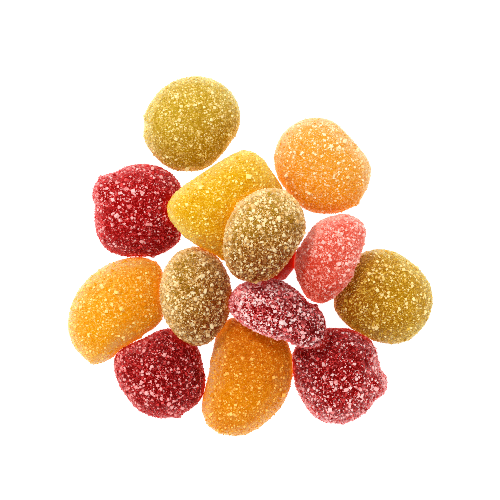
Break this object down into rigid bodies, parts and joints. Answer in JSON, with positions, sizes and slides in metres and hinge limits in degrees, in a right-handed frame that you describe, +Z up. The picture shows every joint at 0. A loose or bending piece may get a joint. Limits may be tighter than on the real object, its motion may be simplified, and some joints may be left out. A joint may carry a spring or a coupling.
{
  "type": "fizzy gummy mix",
  "caption": "Loose heap of sugared fruit jellies, low domes with flat feet, some lying flat and some leaning on the others.",
  "frame": {"origin": "on the surface that the heap lies on, under the middle of its box", "axes": "+Z up; the picture looks straight down, with +X to its right and +Y to its top"},
  "size_m": [0.0984, 0.097, 0.0272],
  "materials": {
    "lime_jelly": "translucent fruit jelly under a coat of fine sugar",
    "lemon_jelly": "translucent fruit jelly under a coat of fine sugar",
    "orange_jelly": "translucent fruit jelly under a coat of fine sugar",
    "cherry_jelly": "translucent fruit jelly under a coat of fine sugar",
    "raspberry_jelly": "translucent fruit jelly under a coat of fine sugar",
    "sugar": "loose white sugar crystals, glittering"
  },
  "bodies": {
    "root": {"lime_top": "lime_jelly", "cherry_left": "cherry_jelly", "orange_top": "orange_jelly", "lime_right": "lime_jelly", "orange_left": "orange_jelly", "cherry_bottom_left": "cherry_jelly", "orange_bottom": "orange_jelly", "cherry_bottom_right": "cherry_jelly", "cherry_under": "cherry_jelly", "lemon": "lemon_jelly", "lime_left": "lime_jelly", "cherry_middle": "cherry_jelly", "lime_middle": "lime_jelly", "raspberry": "raspberry_jelly"}
  },
  "joints": []
}
